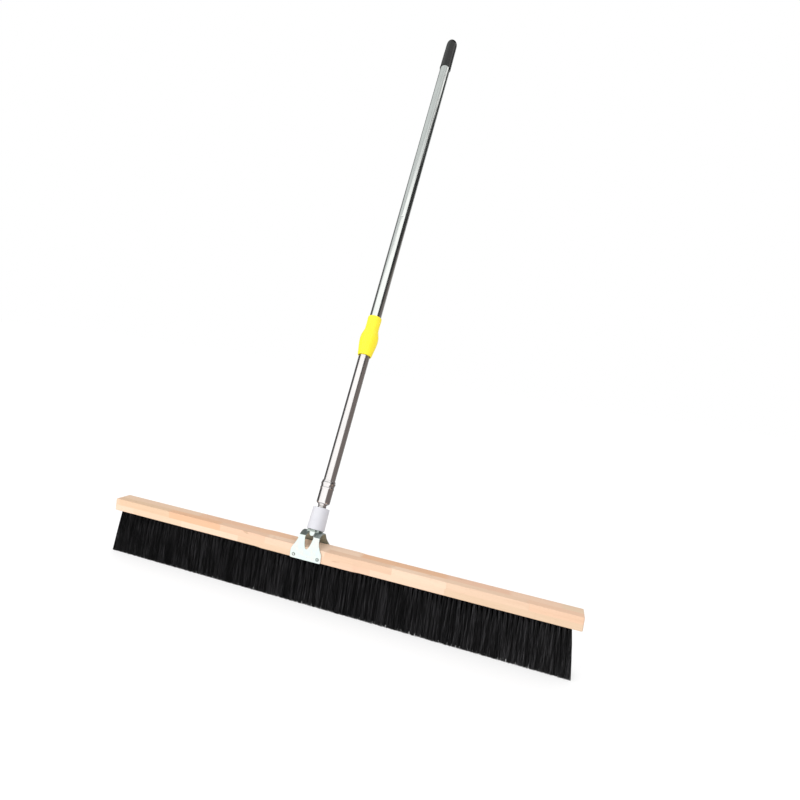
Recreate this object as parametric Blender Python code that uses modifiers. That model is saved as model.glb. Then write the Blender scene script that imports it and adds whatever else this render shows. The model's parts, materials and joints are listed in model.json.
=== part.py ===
"""Wide push broom on a telescopic handle, as separate pieces in their working places.

Frame: metres, +Z up, +X along the brush block, +Y towards the back, where the handle leans.
The origin is on the floor, under the middle of the bristles.
"""
import math

import bmesh
import bpy
from mathutils import Vector
from mathutils.geometry import interpolate_bezier

GAP = 0.0003                    # running gap between neighbouring pieces

# Brush head
BLOCK_LENGTH = 1.200
BLOCK_DEPTH = 0.048
BLOCK_HEIGHT = 0.031
BLOCK_EDGE_RADIUS = 0.0022
BLOCK_CORNER_RADIUS = 0.003
BRACKET_X = -0.038              # the bracket sits this far from the middle of the block
SADDLE_ZONE_DEPTH = 0.054       # the block is deeper here, where the bracket straddles it
SADDLE_ZONE_HALF = 0.115        # half length of the full-depth zone
SHOULDER_LENGTH = 0.024         # run of each S-shaped shoulder
BRISTLE_LENGTH = 0.109
BRISTLE_OVERHANG = 0.0195       # bare wood at each end of the block
BRISTLE_FLARE = 0.013           # how far the tips spread at each end
ROW_COUNT = 5
ROW_PITCH = 0.009
ROW_THICKNESS = 0.006
ROW_TIP_THICKNESS = 0.0075
ROW_TIP_PITCH = 0.0115

# Saddle bracket, zinc-plated sheet
SHEET = 0.002
ROOF_RADIUS = 0.030             # outer radius of the curved roof
ROOF_CENTRE_Z = 0.033           # above the underside of the block
ROOF_HALF_DEPTH = 0.019         # from the middle to the bend between roof and leg
BRACKET_HALF_WIDTH = 0.040
BRACKET_WAIST_HALF = 0.026
BRACKET_SHOULDER_Z = 0.018      # height up to which the foot keeps its full width
LEG_BEND_Z = 0.0295
OPENING_TIP_Z = 0.0275
OPENING_TIP_RADIUS = 0.004
OPENING_WIDE_HALF = 0.011
OPENING_WIDE_Z = 0.054
SLOT_HALF = 0.008
LEG_BEND_RADIUS = 0.006
ROOF_BEND_RADIUS = 0.0025
SCREW_X = 0.031
SCREW_Z = 0.0085
SCREW_HEAD_RADIUS = 0.0043
SCREW_HEAD_HEIGHT = 0.0027
SCREW_SHANK_RADIUS = 0.0019
SCREW_LENGTH = 0.022

# Handle: stations are distances from the socket's underside along the handle's axis
TILT = math.radians(22)         # lean from the vertical, towards +Y
SEAT_THICKNESS = 0.002
SOCKET_LENGTH = 0.0545
SOCKET_FOOT_RADIUS = 0.022
SOCKET_TOP_RADIUS = 0.0208
SOCKET_BORE_RADIUS = 0.0115
SOCKET_FLOOR = 0.015
THREAD_CREST_RADIUS = 0.0110
THREAD_ROOT_RADIUS = 0.0097
THREAD_PITCH = 0.005
THREAD_START = 0.028
THREAD_TURNS = 6
FERRULE_START = 0.0630
FERRULE_END = 0.1235
FERRULE_RADIUS = 0.0170
FERRULE_WALL = 0.0016
TUBE_WALL = 0.00065
LOWER_TUBE_RADIUS = 0.0150
LOWER_TUBE_START = 0.0715
LOWER_TUBE_END = 0.706
UPPER_TUBE_RADIUS = 0.0160
UPPER_TUBE_START = 0.506
UPPER_TUBE_END = 1.5965
COLLAR_START = 0.471
COLLAR_END = 0.587
GRIP_START = 1.502
GRIP_END = 1.6215
GRIP_RADIUS = 0.0177
HANG_HOLE_STATION = 1.610
HANG_HOLE_RADIUS = 0.0045
HANG_HOLE_TURN = math.radians(40)
COLLET_TOP = 0.535
COLLET_THREAD_RADIUS = 0.0196
COLLET_THREAD_LOW = 0.510
COLLET_SLIT_TOP = 0.500
COLLET_SLIT_HALF = 0.0008
FINGER_TIP = 0.479
FINGER_TIP_RADIUS = 0.0172

# Socket's seat, clamp, bolt, washer and nut
SEAT_HALF = 0.015
SEAT_LOW = 0.0262               # height of the seat's lower edges above the roof's axis
TONGUE_HALF = 0.0062
TONGUE_REACH = 0.0155           # from the top of the seat down to the tip of the tongue
CLAMP_HALF_WIDTH = 0.015
CLAMP_HALF_DEPTH = 0.007
CLAMP_LOW = 0.0240
BOLT_RADIUS = 0.004
BOLT_HEAD = 0.0053
BOLT_ABOVE_FLOOR = 0.0105
HEX_RADIUS = 0.0075             # corner radius of a 13 mm hexagon
WASHER_RADIUS = 0.008
WASHER_THICKNESS = 0.0016
NUT_HEIGHT = 0.0065

ROUND = 32                      # segments around a large turned piece
FINE = 18                       # segments around a small one

BLOCK_BOTTOM = BRISTLE_LENGTH
ROOF_CENTRE = BLOCK_BOTTOM + ROOF_CENTRE_Z
SEAT_TOP = ROOF_RADIUS + GAP + SEAT_THICKNESS
SOCKET_BASE = SEAT_TOP + GAP
FRONT_FACE = SADDLE_ZONE_DEPTH / 2 + GAP + SHEET    # outer face of the bracket's foot
UPPER_BORE = UPPER_TUBE_RADIUS + GAP
LOWER_BORE = LOWER_TUBE_RADIUS - TUBE_WALL
THREAD_END = THREAD_START + THREAD_TURNS * THREAD_PITCH

for old in list(bpy.data.objects):
    bpy.data.objects.remove(old, do_unlink=True)

parts = bpy.data.collections.new("push_broom")
cutters = bpy.data.collections.new("push_broom_cutters")
bpy.context.scene.collection.children.link(parts)
bpy.context.scene.collection.children.link(cutters)


# ---- helpers ----------------------------------------------------------------------------

def material(name, colour, roughness, metallic=0.0):
    """A Principled material with one colour."""
    mat = bpy.data.materials.new(name)
    mat.use_nodes = True
    shader = mat.node_tree.nodes["Principled BSDF"]
    shader.inputs["Base Color"].default_value = (*colour, 1.0)
    shader.inputs["Roughness"].default_value = roughness
    shader.inputs["Metallic"].default_value = metallic
    return mat


def place(obj, collection, parent=None, location=(0, 0, 0), rotation=(0, 0, 0)):
    """Put an object in a collection, at a place under an optional parent."""
    for owner in list(obj.users_collection):
        owner.objects.unlink(obj)
    collection.objects.link(obj)
    obj.parent = parent
    obj.location = location
    obj.rotation_euler = rotation
    return obj


def piece(name, mesh, mat, parent=None, location=(0, 0, 0), rotation=(0, 0, 0)):
    """A finished piece of the broom."""
    obj = bpy.data.objects.new(name, mesh)
    mesh.materials.append(mat)
    return place(obj, parts, parent, location, rotation)


def cutter(name, mesh, parent=None, location=(0, 0, 0), rotation=(0, 0, 0)):
    """A tool body for a Boolean, hidden from renders."""
    obj = bpy.data.objects.new(name, mesh)
    obj.hide_render = True
    obj.display_type = "WIRE"
    return place(obj, cutters, parent, location, rotation)


def boolean(obj, tool, operation="DIFFERENCE"):
    """Cut, join or intersect obj with a tool."""
    mod = obj.modifiers.new(operation.lower() + "_" + tool.name, "BOOLEAN")
    mod.operation = operation
    mod.object = tool


def frame_empty(name, parent=None, location=(0, 0, 0), rotation=(0, 0, 0)):
    """An empty that carries the pieces of one moving group."""
    return place(bpy.data.objects.new(name, None), parts, parent, location, rotation)


def arc(centre_r, centre_z, radius, start, end, steps):
    """Points of an arc in the (r, z) plane, angles in degrees from +r towards +z."""
    points = []
    for i in range(steps + 1):
        a = math.radians(start + (end - start) * i / steps)
        points.append((centre_r + radius * math.cos(a), centre_z + radius * math.sin(a)))
    return points


def bezier(start, handle_a, handle_b, end, steps):
    """Points of a Bezier arc between two points of the plane."""
    knots = [Vector((x, y, 0)) for x, y in (start, handle_a, handle_b, end)]
    return [(p.x, p.y) for p in interpolate_bezier(*knots, steps + 1)]


def turned(name, profile, closed, segments=ROUND):
    """A profile spun about Z. It starts at the top of the outer side and runs down.

    A closed profile gives a ring, an open one must start and end on the axis.
    """
    mesh = bpy.data.meshes.new(name)
    bm = bmesh.new()
    verts = [bm.verts.new((r, 0, z)) for r, z in profile]
    for a, b in zip(verts, verts[1:]):
        bm.edges.new((a, b))
    if closed:
        bm.edges.new((verts[-1], verts[0]))
    bm.to_mesh(mesh)
    bm.free()
    mesh["turned_segments"] = segments
    return mesh


def spin(obj, sharp=True):
    """Give a turned profile its Screw modifier."""
    segments = obj.data["turned_segments"]
    mod = obj.modifiers.new("spin", "SCREW")
    mod.steps = segments
    mod.render_steps = segments
    mod.use_merge_vertices = True
    mod.merge_threshold = 0.00005
    mod.use_smooth_shade = not sharp
    return obj


def turned_piece(name, profile, mat, parent, closed=True, segments=ROUND, **where):
    """A turned piece of the broom."""
    mesh = turned(name, profile, closed, segments)
    return spin(piece(name, mesh, mat, parent, **where), sharp=False)


def turned_cutter(name, profile, parent=None, segments=FINE, **where):
    """A solid turned cutter."""
    mesh = turned(name, profile, False, segments)
    return spin(cutter(name, mesh, parent, **where))


def rod(name, radius, bottom, top, parent=None, segments=FINE, **where):
    """A plain cylindrical cutter along Z."""
    profile = [(0, top), (radius, top), (radius, bottom), (0, bottom)]
    return turned_cutter(name, profile, parent, segments, **where)


def box_mesh(name, low, high):
    """A box between two corners."""
    mesh = bpy.data.meshes.new(name)
    bm = bmesh.new()
    bmesh.ops.create_cube(bm, size=1.0)
    for v in bm.verts:
        v.co = Vector(lo + (c + 0.5) * (hi - lo) for lo, hi, c in zip(low, high, v.co))
    bm.to_mesh(mesh)
    bm.free()
    return mesh


def plate_mesh(name, outline, thickness):
    """A flat outline in XY as a plate of the given thickness, centred on Z = 0."""
    curve = bpy.data.curves.new(name + "_outline", "CURVE")
    curve.dimensions = "2D"
    curve.fill_mode = "BOTH"
    curve.extrude = thickness / 2
    spline = curve.splines.new("POLY")
    spline.points.add(len(outline) - 1)
    for point, (x, y) in zip(spline.points, outline):
        point.co = (x, y, 0, 1)
    spline.use_cyclic_u = True
    holder = bpy.data.objects.new(name + "_outline", curve)
    cutters.objects.link(holder)
    bpy.context.view_layer.update()
    evaluated = holder.evaluated_get(bpy.context.evaluated_depsgraph_get())
    mesh = bpy.data.meshes.new_from_object(evaluated)
    mesh.name = name
    bpy.data.objects.remove(holder, do_unlink=True)
    bm = bmesh.new()
    bm.from_mesh(mesh)
    bmesh.ops.remove_doubles(bm, verts=bm.verts, dist=0.00001)
    bmesh.ops.recalc_face_normals(bm, faces=bm.faces)
    for side in (-1, 1):
        cap = [f for f in bm.faces if all(v.co.z * side > 0 for v in f.verts)]
        bmesh.ops.dissolve_faces(bm, faces=cap)
    bm.to_mesh(mesh)
    bm.free()
    mesh.materials.clear()
    return mesh


def bevel(obj, width, segments=2, angle=40):
    """Round the sharp edges of a piece."""
    mod = obj.modifiers.new("rounded_edges", "BEVEL")
    mod.width = width
    mod.segments = segments
    mod.limit_method = "ANGLE"
    mod.angle_limit = math.radians(angle)


def mirrored(outline):
    """Close a right-hand outline, given bottom to top, with its mirror image in X."""
    return outline + [(-x, y) for x, y in reversed(outline) if x > 0]


# ---- materials --------------------------------------------------------------------------

beech = material("pale_hardwood", (0.80, 0.60, 0.42), 0.55)
bristle_black = material("black_bristle", (0.015, 0.015, 0.017), 0.50)
zinc = material("zinc_plate", (0.72, 0.78, 0.77), 0.28, 1.0)
white_plastic = material("white_plastic", (0.80, 0.80, 0.86), 0.40)
steel = material("polished_steel", (0.76, 0.76, 0.77), 0.16, 1.0)
yellow_plastic = material("yellow_plastic", (0.93, 0.82, 0.05), 0.35)
black_rubber = material("black_rubber", (0.03, 0.03, 0.032), 0.60)
nylon = material("natural_nylon", (0.75, 0.74, 0.70), 0.45)


# ---- brush head -------------------------------------------------------------------------

def block_half_depth(x):
    """Half depth of the block at a distance x from the bracket's middle."""
    run = (abs(x) - SADDLE_ZONE_HALF) / SHOULDER_LENGTH
    run = min(max(run, 0.0), 1.0)
    blend = run * run * (3 - 2 * run)
    return SADDLE_ZONE_DEPTH / 2 + blend * (BLOCK_DEPTH - SADDLE_ZONE_DEPTH) / 2


def block_outline():
    """Plan of the block, counter-clockwise."""
    shoulder_steps = 8
    reach = [SADDLE_ZONE_HALF + SHOULDER_LENGTH * i / shoulder_steps
             for i in range(shoulder_steps + 1)]
    corner = arc(BLOCK_LENGTH / 2 - BLOCK_CORNER_RADIUS, BLOCK_DEPTH / 2 - BLOCK_CORNER_RADIUS,
                 BLOCK_CORNER_RADIUS, 0, 90, 5)
    right = [(BRACKET_X + x, block_half_depth(x)) for x in reversed(reach)]
    left = [(BRACKET_X - x, block_half_depth(x)) for x in reach]
    rear = corner + right + left + [(-x, y) for x, y in reversed(corner)]
    return rear + [(x, -y) for x, y in reversed(rear)]


def brush_block():
    block = piece("brush_block", plate_mesh("brush_block", block_outline(), BLOCK_HEIGHT), beech,
                  location=(0, 0, BLOCK_BOTTOM + BLOCK_HEIGHT / 2))
    bevel(block, BLOCK_EDGE_RADIUS, 2)
    return block


def bristle_rows():
    """One plain solid for each row of tufts; the rows spread slightly towards the tips."""
    half_top = BLOCK_LENGTH / 2 - BRISTLE_OVERHANG
    for i in range(ROW_COUNT):
        step = i - (ROW_COUNT - 1) / 2
        name = "bristle_row_%d" % (i + 1)
        mesh = box_mesh(name, (-half_top, -ROW_THICKNESS / 2, 0),
                        (half_top, ROW_THICKNESS / 2, BRISTLE_LENGTH - GAP))
        for v in mesh.vertices:
            side_x = math.copysign(1, v.co.x)
            side_y = math.copysign(1, v.co.y)
            if v.co.z < BRISTLE_LENGTH / 2:
                v.co.x += side_x * BRISTLE_FLARE
                v.co.y = side_y * ROW_TIP_THICKNESS / 2 + step * ROW_TIP_PITCH
            else:
                v.co.y += step * ROW_PITCH
        piece(name, mesh, bristle_black)


# ---- saddle bracket and its screws ------------------------------------------------------

def fillet(corner, before, after, radius, steps=4):
    """Points of a rounded corner of a polyline."""
    p = Vector(corner)
    u = (Vector(before) - p).normalized()
    w = (Vector(after) - p).normalized()
    half = u.angle(w) / 2
    centre = p + (u + w).normalized() * radius / math.sin(half)
    start = p + u * radius / math.tan(half) - centre
    end = p + w * radius / math.tan(half) - centre
    points = []
    for i in range(steps + 1):
        spoke = start.normalized().slerp(end.normalized(), i / steps)
        points.append(tuple(centre + spoke * radius))
    return points


def saddle_profile():
    """Outer side of the bracket seen from its end: (y, z), front foot to rear foot."""
    bend_angle = math.asin(ROOF_HALF_DEPTH / ROOF_RADIUS)
    roof_edge_z = ROOF_CENTRE_Z + ROOF_RADIUS * math.cos(bend_angle)
    foot = (FRONT_FACE, 0.0)
    knee = (FRONT_FACE, LEG_BEND_Z)
    roof_edge = (ROOF_HALF_DEPTH, roof_edge_z)
    roof = []
    roof_steps = 12
    for i in range(roof_steps + 1):
        a = -bend_angle + 2 * bend_angle * i / roof_steps
        roof.append((ROOF_RADIUS * math.sin(a), ROOF_CENTRE_Z + ROOF_RADIUS * math.cos(a)))
    inward = roof[-2]
    knee_bend = fillet(knee, foot, roof_edge, LEG_BEND_RADIUS)
    roof_bend = fillet(roof_edge, knee, inward, ROOF_BEND_RADIUS, 3)
    rear = [foot] + knee_bend + roof_bend
    front = [(-y, z) for y, z in rear]
    return front + roof[2:-2] + rear[::-1]


def saddle_outline():
    """Front view of the bracket: full-width foot, hollow flanks, narrow roof."""
    foot_corner = arc(BRACKET_HALF_WIDTH - 0.003, 0.003, 0.003, -90, 0, 3)
    flank = bezier((BRACKET_HALF_WIDTH, BRACKET_SHOULDER_Z), (0.0385, 0.029), (0.0285, 0.036),
                   (0.0270, 0.050), 8)
    top = [(BRACKET_WAIST_HALF, 0.058), (BRACKET_WAIST_HALF, 0.080)]
    return mirrored(foot_corner + flank + top)


def opening_outline():
    """Front view of the opening: a drop in each leg that narrows to the slot in the roof."""
    tip_z = OPENING_TIP_Z + OPENING_TIP_RADIUS
    tip = arc(0, tip_z, OPENING_TIP_RADIUS, -90, -18, 5)
    side = bezier(tip[-1], (0.0080, 0.0370), (0.0088, 0.0440), (OPENING_WIDE_HALF, OPENING_WIDE_Z), 6)
    slot = [(SLOT_HALF, OPENING_WIDE_Z + 0.006), (SLOT_HALF, 0.090)]
    return mirrored(tip + side[1:] + slot)


def saddle_bracket():
    profile = saddle_profile()
    mesh = bpy.data.meshes.new("saddle_bracket")
    bm = bmesh.new()
    left = [bm.verts.new((-BRACKET_HALF_WIDTH, y, z)) for y, z in profile]
    edges = [bm.edges.new(pair) for pair in zip(left, left[1:])]
    swept = bmesh.ops.extrude_edge_only(bm, edges=edges)
    moved = [v for v in swept["geom"] if isinstance(v, bmesh.types.BMVert)]
    bmesh.ops.translate(bm, verts=moved, vec=(2 * BRACKET_HALF_WIDTH, 0, 0))
    bmesh.ops.recalc_face_normals(bm, faces=bm.faces)
    crown = max(bm.faces, key=lambda f: f.calc_center_median().z)
    if crown.normal.z < 0:
        bmesh.ops.reverse_faces(bm, faces=bm.faces)
    bm.to_mesh(mesh)
    bm.free()
    seat = (BRACKET_X, 0, BLOCK_BOTTOM)
    bracket = piece("saddle_bracket", mesh, zinc, location=seat)
    sheet = bracket.modifiers.new("sheet", "SOLIDIFY")
    sheet.thickness = SHEET
    sheet.offset = -1
    sheet.use_even_offset = True
    upright = (math.pi / 2, 0, 0)
    depth = 0.12
    blank = cutter("bracket_blank", plate_mesh("bracket_blank", saddle_outline(), depth),
                   location=seat, rotation=upright)
    opening = cutter("bracket_opening", plate_mesh("bracket_opening", opening_outline(), depth),
                     location=seat, rotation=upright)
    boolean(bracket, blank, "INTERSECT")
    boolean(bracket, opening)
    return bracket


def bracket_screws(bracket, block):
    """Four round-head wood screws through the bracket's feet into the block."""
    dome_radius = (SCREW_HEAD_RADIUS ** 2 + SCREW_HEAD_HEIGHT ** 2) / (2 * SCREW_HEAD_HEIGHT)
    edge_angle = math.degrees(math.asin(SCREW_HEAD_RADIUS / dome_radius))
    profile = arc(0, SCREW_HEAD_HEIGHT - dome_radius, dome_radius, 90, 90 - edge_angle, 5)
    profile[0] = (0, SCREW_HEAD_HEIGHT)
    profile += [(SCREW_SHANK_RADIUS, 0), (SCREW_SHANK_RADIUS, -SCREW_LENGTH + 0.005),
                (0, -SCREW_LENGTH)]
    arm = 0.0021
    half = 0.00045
    depth = 0.0014
    slot_mesh = box_mesh("recess_slot", (-arm, -half, -depth), (arm, half, depth))
    for side, sign_y in (("front", -1), ("rear", 1)):
        for hand, sign_x in (("left", -1), ("right", 1)):
            tag = side + "_" + hand
            face = sign_y * (FRONT_FACE + GAP)
            where = (BRACKET_X + sign_x * SCREW_X, face, BLOCK_BOTTOM + SCREW_Z)
            turn = (-sign_y * math.pi / 2, 0, 0)
            screw = turned_piece("bracket_screw_" + tag, profile, zinc, None, closed=False,
                                 segments=FINE, location=where, rotation=turn)
            for turn_index in range(2):
                slot = cutter("recess_%s_%d" % (tag, turn_index), slot_mesh, screw,
                              location=(0, 0, SCREW_HEAD_HEIGHT),
                              rotation=(0, 0, turn_index * math.pi / 2))
                boolean(screw, slot)
            hole = rod("screw_hole_" + tag, SCREW_SHANK_RADIUS + GAP, -SCREW_LENGTH - 0.001,
                       SCREW_HEAD_HEIGHT, location=where, rotation=turn)
            boolean(bracket, hole)
            boolean(block, hole)


# ---- socket, clamped on the bracket's curved roof ---------------------------------------

def roof_cylinder(name, radius, parent):
    """Cutter with the roof's axis, for the saddle-shaped faces that bear on the roof."""
    return rod(name, radius, -0.03, 0.03, parent, 72, rotation=(0, math.pi / 2, 0))


def seat_washer(pivot):
    """Plate under the socket: flat on top, hollow below, with a tongue down the slot."""
    plate = box_mesh("seat_washer", (-SEAT_HALF, -SEAT_HALF, SEAT_LOW), (SEAT_HALF, SEAT_HALF, SEAT_TOP))
    seat = piece("seat_washer", plate, zinc, pivot)
    boolean(seat, roof_cylinder("seat_hollow", ROOF_RADIUS + GAP, pivot))
    tip = SEAT_TOP - TONGUE_REACH
    shield = [(0.0016, tip)]
    shield += bezier((0.0045, tip + 0.0018), (0.0058, tip + 0.0035), (TONGUE_HALF, tip + 0.006),
                     (TONGUE_HALF, tip + 0.009), 4)
    shield.append((TONGUE_HALF, SEAT_TOP - 0.00001))
    into_plate = 0.0004
    tongue = cutter("seat_tongue", plate_mesh("seat_tongue", mirrored(shield), SHEET), pivot,
                    location=(0, into_plate - SEAT_HALF - SHEET / 2, 0), rotation=(math.pi / 2, 0, 0))
    boolean(seat, tongue, "UNION")
    boolean(seat, rod("seat_bore", BOLT_RADIUS + GAP, 0.020, 0.040, pivot))
    return seat


def clamp_saddle(pivot):
    """Saddle washer under the roof, which the bolt head pulls up against the sheet."""
    top = ROOF_RADIUS - SHEET - GAP
    plate = box_mesh("clamp_saddle", (-CLAMP_HALF_WIDTH, -CLAMP_HALF_DEPTH, CLAMP_LOW),
                     (CLAMP_HALF_WIDTH, CLAMP_HALF_DEPTH, top + 0.001))
    clamp = piece("clamp_saddle", plate, zinc, pivot)
    boolean(clamp, roof_cylinder("clamp_crown", top, pivot), "INTERSECT")
    boolean(clamp, rod("clamp_bore", BOLT_RADIUS + GAP, 0.015, 0.040, pivot))
    return clamp


def hexagon(radius):
    """Outline of a hexagon with the given corner radius."""
    return [(radius * math.cos(math.radians(60 * i)), radius * math.sin(math.radians(60 * i)))
            for i in range(6)]


def socket_bolt(pivot):
    """Hexagon bolt, head below the clamp, shank up into the socket."""
    head_top = CLAMP_LOW - GAP
    tip = SOCKET_BASE + SOCKET_FLOOR + BOLT_ABOVE_FLOOR
    bolt = piece("socket_bolt", plate_mesh("socket_bolt", hexagon(HEX_RADIUS), BOLT_HEAD), zinc, pivot,
                 location=(0, 0, head_top - BOLT_HEAD / 2))
    bevel(bolt, 0.0004, 1)
    shank = rod("bolt_shank", BOLT_RADIUS, head_top - 0.001, tip, pivot)
    boolean(bolt, shank, "UNION")
    return bolt


def socket_fasteners(pivot):
    """Plain washer and nut on the socket's floor, inside its bore."""
    floor = SOCKET_BASE + SOCKET_FLOOR + GAP
    top = floor + WASHER_THICKNESS
    bore = BOLT_RADIUS + GAP
    profile = [(WASHER_RADIUS, top), (WASHER_RADIUS, floor), (bore, floor), (bore, top)]
    turned_piece("socket_washer", profile, zinc, pivot, segments=FINE)
    nut_low = top + GAP
    nut = piece("socket_nut", plate_mesh("socket_nut", hexagon(HEX_RADIUS), NUT_HEIGHT), zinc, pivot,
                location=(0, 0, nut_low + NUT_HEIGHT / 2))
    bevel(nut, 0.0004, 1)
    boolean(nut, rod("nut_bore", bore, nut_low - 0.002, nut_low + NUT_HEIGHT + 0.002, pivot))


def handle_socket(seat):
    """White moulded socket: solid foot with a bolt hole, threaded bore open at the top."""
    chamfer = 0.0016
    mouth = SOCKET_BORE_RADIUS + 0.0012
    bolt_hole = BOLT_RADIUS + GAP
    profile = [(mouth, SOCKET_LENGTH), (SOCKET_TOP_RADIUS - chamfer, SOCKET_LENGTH)]
    profile += arc(SOCKET_TOP_RADIUS - chamfer, SOCKET_LENGTH - chamfer, chamfer, 60, 0, 2)
    profile += [(SOCKET_FOOT_RADIUS, 0.0008), (SOCKET_FOOT_RADIUS - 0.0008, 0), (bolt_hole, 0),
                (bolt_hole, SOCKET_FLOOR), (SOCKET_BORE_RADIUS, SOCKET_FLOOR),
                (SOCKET_BORE_RADIUS, SOCKET_LENGTH - 0.0012)]
    return turned_piece("handle_socket", profile, white_plastic, seat)


# ---- lower handle -----------------------------------------------------------------------

def threaded_tip(handle):
    """Screw-in tip: plug inside the tube, neck and thread below it."""
    plug = LOWER_BORE - GAP
    plug_end = 0.116
    shoulder = LOWER_TUBE_START - 0.001
    profile = [(0, plug_end), (plug - 0.001, plug_end), (plug, plug_end - 0.001), (plug, shoulder),
               (THREAD_CREST_RADIUS, FERRULE_START + FERRULE_WALL), (THREAD_ROOT_RADIUS, THREAD_END + 0.002)]
    for i in range(THREAD_TURNS):
        top = THREAD_END - i * THREAD_PITCH
        profile += [(THREAD_ROOT_RADIUS, top - 0.0008), (THREAD_CREST_RADIUS, top - 0.0020),
                    (THREAD_CREST_RADIUS, top - 0.0030), (THREAD_ROOT_RADIUS, top - 0.0042)]
    profile += [(THREAD_ROOT_RADIUS - 0.0015, THREAD_START - 0.0006), (0, THREAD_START - 0.0006)]
    turned_piece("threaded_tip", profile, steel, handle, closed=False, segments=24)


def rolled_bead(centre, half, height, steps=5):
    """A rolled bead on the ferrule's outer side, top to bottom."""
    points = []
    for i in range(steps + 1):
        across = 2 * i / steps - 1
        points.append((FERRULE_RADIUS + height * math.cos(across * math.pi / 2), centre - across * half))
    return points


def tip_ferrule(handle):
    """Sleeve that covers the joint of tube and tip, closed in round the neck."""
    inner = LOWER_TUBE_RADIUS + GAP
    nose = 0.007
    neck = THREAD_CREST_RADIUS + GAP
    profile = [(inner, FERRULE_END), (FERRULE_RADIUS - 0.0006, FERRULE_END),
               (FERRULE_RADIUS, FERRULE_END - 0.0008)]
    profile += rolled_bead(FERRULE_END - 0.0075, 0.0050, 0.0013)
    profile += rolled_bead(FERRULE_END - 0.0190, 0.0025, 0.0009, 4)
    profile += arc(FERRULE_RADIUS - nose + 0.001, FERRULE_START + nose, nose - 0.001, 0, -80, 5)
    profile += [(neck, FERRULE_START), (neck, FERRULE_START + FERRULE_WALL),
                (neck + 0.0010, FERRULE_START + FERRULE_WALL)]
    profile += [(inner, FERRULE_START + nose)]
    turned_piece("tip_ferrule", profile, steel, handle)


def tube(name, radius, start, end, parent, mat):
    """Thin-walled round tube."""
    inner = radius - TUBE_WALL
    profile = [(inner, end), (radius, end), (radius, start), (inner, start)]
    return turned_piece(name, profile, mat, parent)


def guide_bush(handle):
    """Plastic plug in the top of the lower tube, which guides it inside the upper tube."""
    plug = LOWER_BORE - GAP
    flange = LOWER_TUBE_RADIUS
    hole = 0.006
    seat = LOWER_TUBE_END + GAP
    profile = [(hole, seat + 0.004), (flange - 0.0006, seat + 0.004), (flange, seat + 0.0034),
               (flange, seat), (plug, seat), (plug, seat - 0.016), (hole, seat - 0.016)]
    turned_piece("guide_bush", profile, nylon, handle)


# ---- upper handle -----------------------------------------------------------------------

def locking_collet(extension):
    """Nylon sleeve fixed on the upper tube, with four fingers that grip the lower tube."""
    lower_fit = LOWER_TUBE_RADIUS + GAP
    step = UPPER_TUBE_START - GAP
    profile = [(UPPER_BORE, COLLET_TOP), (COLLET_THREAD_RADIUS - 0.001, COLLET_TOP),
               (COLLET_THREAD_RADIUS, COLLET_TOP - 0.001), (COLLET_THREAD_RADIUS, COLLET_THREAD_LOW),
               (FINGER_TIP_RADIUS, FINGER_TIP), (lower_fit, FINGER_TIP), (lower_fit, step),
               (UPPER_BORE, step)]
    collet = turned_piece("locking_collet", profile, nylon, extension)
    reach = 2 * COLLET_THREAD_RADIUS
    slit_mesh = box_mesh("collet_slit", (-reach, -COLLET_SLIT_HALF, FINGER_TIP - 0.01),
                         (reach, COLLET_SLIT_HALF, COLLET_SLIT_TOP))
    for i in range(2):
        boolean(collet, cutter("collet_slit_%d" % i, slit_mesh, extension,
                               rotation=(0, 0, i * math.pi / 2)))


def collar_outer():
    """Outer side of the collar, top to bottom: slim neck, S-curve, bulge, rounded foot."""
    neck = [(0.0181, COLLAR_END), (0.0189, COLLAR_END - 0.0012)]
    slim = bezier((0.0190, COLLAR_END - 0.004), (0.0190, 0.576), (0.0186, 0.566), (0.0186, 0.553), 3)
    shoulder = bezier((0.0186, 0.553), (0.0188, 0.541), (0.0250, 0.537), (0.0250, 0.519), 7)
    belly = bezier((0.0250, 0.519), (0.0250, 0.506), (0.0222, 0.494), (0.0203, 0.481), 5)
    foot = bezier((0.0203, 0.481), (0.0199, 0.4775), (0.0195, 0.472), (0.0179, COLLAR_START), 3)
    return neck + slim + shoulder[1:] + belly[1:] + foot[1:]


def lock_collar(extension):
    """Yellow nut: turned on the collet's thread, its inner cone closes the fingers."""
    throat = COLLET_TOP + 0.002
    thread = COLLET_THREAD_RADIUS + GAP
    lip = UPPER_BORE + GAP
    cone = FINGER_TIP_RADIUS + GAP
    profile = collar_outer()
    profile += [(lip, COLLAR_START), (lip, FINGER_TIP - 0.001), (cone, FINGER_TIP - 0.001),
                (thread, COLLET_THREAD_LOW - 0.001), (thread, throat), (UPPER_BORE, throat + 0.001),
                (UPPER_BORE, COLLAR_END)]
    turned_piece("lock_collar", profile, yellow_plastic, extension)


def end_grip(extension):
    """Soft cap over the end of the upper tube, with a hole to hang the broom by."""
    dome = 0.0125
    bore = UPPER_TUBE_RADIUS + GAP
    cavity = UPPER_TUBE_END + GAP
    profile = [(0, GRIP_END)]
    profile += arc(GRIP_RADIUS - dome, GRIP_END - dome, dome, 90, 0, 8)
    profile += [(GRIP_RADIUS, GRIP_START + 0.003), (GRIP_RADIUS + 0.0003, GRIP_START + 0.0012),
                (GRIP_RADIUS - 0.0002, GRIP_START), (bore, GRIP_START), (bore, cavity), (0, cavity)]
    grip = turned_piece("end_grip", profile, black_rubber, extension, closed=False)
    hole = rod("hang_hole", HANG_HOLE_RADIUS, -0.03, 0.03, extension,
               location=(0, 0, HANG_HOLE_STATION), rotation=(math.pi / 2, 0, HANG_HOLE_TURN))
    boolean(grip, hole)


# ---- assembly ---------------------------------------------------------------------------

wood = brush_block()
bristle_rows()
saddle = saddle_bracket()
bracket_screws(saddle, wood)

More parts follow.
